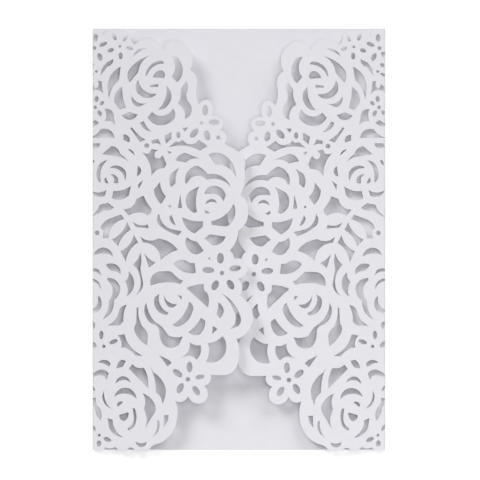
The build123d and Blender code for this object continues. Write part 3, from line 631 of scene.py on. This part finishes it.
pearl_card, shader = new_finish("pearl_card_stock", roughness=0.5)
place = add_node(pearl_card, "ShaderNodeTexCoord").outputs["Object"]
cloud = add_node(pearl_card, "ShaderNodeTexNoise", {"Scale": 1 / (FIBRE_CLOUD * MM), "Detail": 3},
                 {"Vector": place})
sides = add_node(pearl_card, "ShaderNodeSeparateXYZ", links={"Vector": place})
off_middle = add_node(pearl_card, "ShaderNodeMath", {"operation": "ABSOLUTE"}, {0: sides.outputs["X"]})
fold_edge = card_width / 2
score = add_node(pearl_card, "ShaderNodeMapRange",
                 {"From Min": (fold_edge - SCORE_WIDTH) * MM, "From Max": fold_edge * MM,
                  "To Max": SCORE_WEAR},
                 {"Value": off_middle.outputs[0]})
whiteness = add_node(pearl_card, "ShaderNodeMath", {"operation": "ADD"},
                     {0: cloud.outputs["Fac"], 1: score.outputs["Result"]})
print(pearl_card.name, "has clouds of", FIBRE_CLOUD, "mm and", SCORE_WIDTH, "mm of worn coat at each fold")

# %% Whites of the pearl card
# Each white's place on the ramp, from thin fibre through thick fibre to worn coat
WHITES = ((0.3, "#E2E1E7"), (0.7, "#E4E3E9"), (1, "#E9E8ED"))

tint = add_node(pearl_card, "ShaderNodeValToRGB", links={"Fac": whiteness.outputs[0]})
tint.color_ramp.elements.new(WHITES[1][0])
for stop, (position, hex_colour) in zip(tint.color_ramp.elements, WHITES):
    stop.position = position
    stop.color = srgb(hex_colour)
pearl_card.node_tree.links.new(tint.outputs["Color"], shader.inputs["Base Color"])
print(pearl_card.name, "goes through", len(tint.color_ramp.elements), "whites")

# %% Grain and mica of the pearl card
FIBRE_GRAIN = 0.45
GRAIN_HEIGHT = 0.02
GRAIN_STRENGTH = 0.06
MICA_FLAKE = 0.35
SHINIEST_FLAKE = 0.42
DULLEST_FLAKE = 0.58

grain = add_node(pearl_card, "ShaderNodeTexNoise", {"Scale": 1 / (FIBRE_GRAIN * MM), "Detail": 3},
                 {"Vector": place})
relief = add_node(pearl_card, "ShaderNodeBump",
                  {"Strength": GRAIN_STRENGTH, "Distance": GRAIN_HEIGHT * MM},
                  {"Height": grain.outputs["Fac"]})
flakes = add_node(pearl_card, "ShaderNodeTexVoronoi", {"Scale": 1 / (MICA_FLAKE * MM)}, {"Vector": place})
gloss = add_node(pearl_card, "ShaderNodeMapRange",
                 {"To Min": SHINIEST_FLAKE, "To Max": DULLEST_FLAKE},
                 {"Value": flakes.outputs["Color"]})
pearl_card.node_tree.links.new(relief.outputs["Normal"], shader.inputs["Normal"])
pearl_card.node_tree.links.new(gloss.outputs["Result"], shader.inputs["Roughness"])
print(pearl_card.name, "has a grain of", FIBRE_GRAIN, "mm and flakes of", MICA_FLAKE, "mm")

# %% Coat of the pearl card
shader.inputs["IOR"].default_value = 1.5
shader.inputs["Coat Weight"].default_value = 0.1
shader.inputs["Coat Roughness"].default_value = 0.4
print(pearl_card.name, "has a coat of weight", round(shader.inputs["Coat Weight"].default_value, 2))

# %% [markdown]
# ### Laser-cut edge
# The laser burns its way through, so the cut edge has no coat: it is bare fibre, matt and a little
# warmer than the face, and darker in spots where the beam dwelt. It is as narrow as the card is
# thick, and is seen as a fine line around each opening. The cut faces were listed on the flat
# blank, where they are the upright ones, and keep their numbers through the folding.

# %% Laser-cut edge: bare fibre, matt and slightly warm
BEAM_SPOT = 0.8
SCORCHES = ((0.35, "#D8D3CE"), (0.65, "#E2E0DE"))

cut_edge, shader = new_finish("laser_cut_edge", roughness=0.9)
place = add_node(cut_edge, "ShaderNodeTexCoord").outputs["Object"]
spots = add_node(cut_edge, "ShaderNodeTexNoise", {"Scale": 1 / (BEAM_SPOT * MM), "Detail": 2},
                 {"Vector": place})
scorch = add_node(cut_edge, "ShaderNodeValToRGB", links={"Fac": spots.outputs["Fac"]})
for stop, (position, hex_colour) in zip(scorch.color_ramp.elements, SCORCHES):
    stop.position = position
    stop.color = srgb(hex_colour)
cut_edge.node_tree.links.new(scorch.outputs["Color"], shader.inputs["Base Color"])
print(cut_edge.name, "has scorched spots of", BEAM_SPOT, "mm")

# %% Put both finishes on the card
card.data.materials.append(pearl_card)
card.data.materials.append(cut_edge)
cut_edge_slot = card.data.materials.find(cut_edge.name)
for index in cut_faces:
    card.data.polygons[index].material_index = cut_edge_slot
print("finishes", [material.name for material in card.data.materials])

# %% [markdown]
# ## Floor, light and camera
# The photograph has a white ground. The floor is white and shines a little, but only to rays that
# come from the camera or by way of gloss and glass, so that it stays white behind the card, throws
# no light of its own on it and still takes its shadow.

# %% Floor
FLOOR_SIZE = 3
GROUND_GLOW = 0.35

bpy.ops.mesh.primitive_plane_add(size=FLOOR_SIZE)
floor = bpy.context.object
floor.name = "floor"
white_ground, shader = new_finish("white_ground", roughness=1)
shader.inputs["Base Color"].default_value = srgb("#F2F2F2")
shader.inputs["Specular IOR Level"].default_value = 0
shader.inputs["Emission Color"].default_value = srgb("#FFFFFF")
ray = add_node(white_ground, "ShaderNodeLightPath")
glossy = add_node(white_ground, "ShaderNodeMath", {"operation": "MAXIMUM"},
                  {0: ray.outputs["Is Glossy Ray"], 1: ray.outputs["Is Transmission Ray"]})
seen = add_node(white_ground, "ShaderNodeMath", {"operation": "MAXIMUM"},
                {0: ray.outputs["Is Camera Ray"], 1: glossy.outputs[0]})
glow = add_node(white_ground, "ShaderNodeMapRange", {"To Max": GROUND_GLOW}, {"Value": seen.outputs[0]})
white_ground.node_tree.links.new(glow.outputs["Result"], shader.inputs["Emission Strength"])
floor.data.materials.append(white_ground)
print("floor", [round(size, 1) for size in floor.dimensions[:2]], "m, glow", GROUND_GLOW)

# %% [markdown]
# ### Light
# Shadows tell where the lights stood. Each flap throws one to its free side and down the picture, so
# there was a light to the upper left and another to the upper right, both low. They were far off
# compared with a card, so each is a sun lamp, with a wide angle for its soft edge. The back is
# bright even in openings that these two can't reach, so a softbox hung above the card. A weak lamp
# low in front makes the lower part slightly brighter than the top, and a white room fills the rest.

# %% Room
ROOM_LIGHT = 0.24

room = bpy.data.worlds.new("white_room")
room.use_nodes = True
walls = room.node_tree.nodes["Background"]
walls.inputs["Color"].default_value = srgb("#FFFFFF")
walls.inputs["Strength"].default_value = ROOM_LIGHT
bpy.context.scene.world = room
print(room.name, "shines with", ROOM_LIGHT)


# %% Lamps
def add_lamp(kind, name, place, power):
    """A lamp that faces the card."""
    bpy.ops.object.light_add(type=kind, location=place)
    lamp = bpy.context.object
    lamp.name = name
    lamp.rotation_euler = Vector(place).to_track_quat("Z", "Y").to_euler()
    lamp.data.energy = power
    print(name, "shines from", place, "with", power)
    return lamp.data


add_lamp("SUN", "upper_left_light", place=(-1.06, 1.35, 1), power=1.6).angle = radians(24)
add_lamp("SUN", "upper_right_light", place=(0.95, 1.75, 1), power=1.46).angle = radians(36)
add_lamp("AREA", "softbox_overhead", place=(0.08, 0.03, 0.5), power=0.6).size = 0.25
add_lamp("AREA", "front_fill", place=(0.06, -0.4, 0.15), power=0.42).size = 0.25

# %% [markdown]
# ### Camera
# The photograph looks straight down, and the raised flaps stand no further out than the back does,
# so it was taken from far off. The camera stands well above the card with a lens that is long
# enough to fill the picture as the photograph does. A pixel of the photograph is a little less up
# the card than across it, and the picture takes the mean of the two.

# %% Camera
PICTURE_PX = 480
CAMERA_HEIGHT = 3.0

metres_per_px = (mm_per_px + mm_per_py) / 2 * MM
view_width = PICTURE_PX * metres_per_px
across = (PICTURE_PX / 2 - middle_px) * metres_per_px
up = (middle_py - PICTURE_PX / 2) * metres_per_px
bpy.ops.object.camera_add(location=(across, up, CAMERA_HEIGHT), rotation=(0, 0, 0))
camera = bpy.context.object
camera.data.lens = camera.data.sensor_width * CAMERA_HEIGHT / view_width
bpy.context.scene.camera = camera
bpy.context.scene.view_settings.view_transform = "Standard"
print("camera", CAMERA_HEIGHT, "m up, lens", round(camera.data.lens), "mm")
